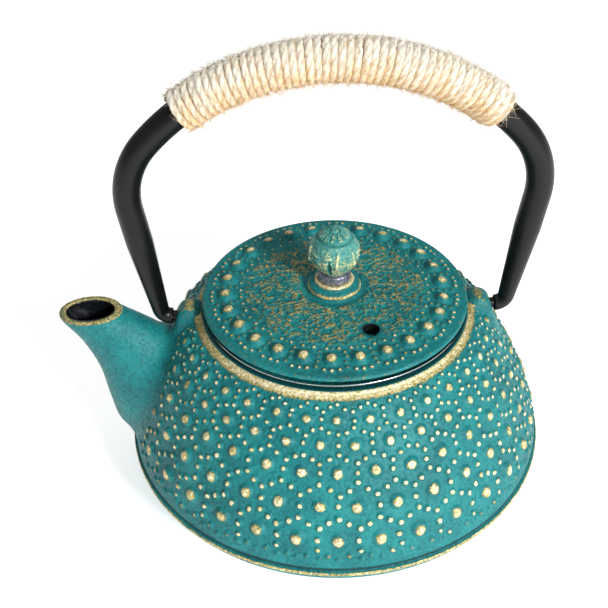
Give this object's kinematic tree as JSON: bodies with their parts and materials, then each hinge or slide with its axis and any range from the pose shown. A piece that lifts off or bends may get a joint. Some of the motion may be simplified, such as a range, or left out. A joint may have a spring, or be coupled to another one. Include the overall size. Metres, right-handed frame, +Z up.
{
  "type": "cast iron teapot",
  "caption": "Low round cast iron teapot with studded shoulder, flat lift-off lid, stainless tea basket and a twine-wrapped swinging bail handle.",
  "frame": {"origin": "centre of the flat foot disc, in the plane that the teapot stands on", "axes": "+Z up along the pot's axis; the spout points along -X; the bail swings about an axis parallel to X"},
  "size_m": [0.1762, 0.156, 0.1736],
  "materials": {
    "painted_cast_iron": "sand-textured teal paint, gold brushed over the studs, rim and edges",
    "bare_steel": "turned, unpainted, dulled",
    "stainless_sheet": "bright stainless sheet",
    "stainless_mesh": "fine woven stainless wire",
    "black_tube": "satin black coating",
    "jute_twine": "natural jute twine, hairy, wound close"
  },
  "bodies": {
    "pot": {"pot_body": "painted_cast_iron"},
    "infuser": {"infuser_collar": "stainless_sheet", "infuser_screen": "stainless_mesh", "infuser_foot_band": "stainless_sheet", "infuser_base_screen": "stainless_mesh"},
    "lid": {"lid": "painted_cast_iron"},
    "knob": {"lid_knob": "painted_cast_iron", "knob_post": "bare_steel", "knob_washer": "stainless_sheet"},
    "bail": {"bail_tube": "black_tube", "bail_pin_left": "black_tube", "bail_pin_right": "black_tube", "grip_twine": "jute_twine"}
  },
  "joints": [
    {"name": "infuser_lift", "type": "slide", "parent": "pot", "child": "infuser", "axis": [0, 0, 1], "range_m": [0, 0.05]},
    {"name": "lid_lift", "type": "slide", "parent": "infuser", "child": "lid", "axis": [0, 0, 1], "range_m": [0, 0.05]},
    {"name": "knob_spin", "type": "hinge", "parent": "lid", "child": "knob", "pos_m": [0, 0, 0.09], "axis": [0, 0, 1], "continuous": true},
    {"name": "bail_swing", "type": "hinge", "parent": "pot", "child": "bail", "pos_m": [0, 0, 0.0716], "axis": [1, 0, 0], "range_deg": [-116, 116]}
  ]
}
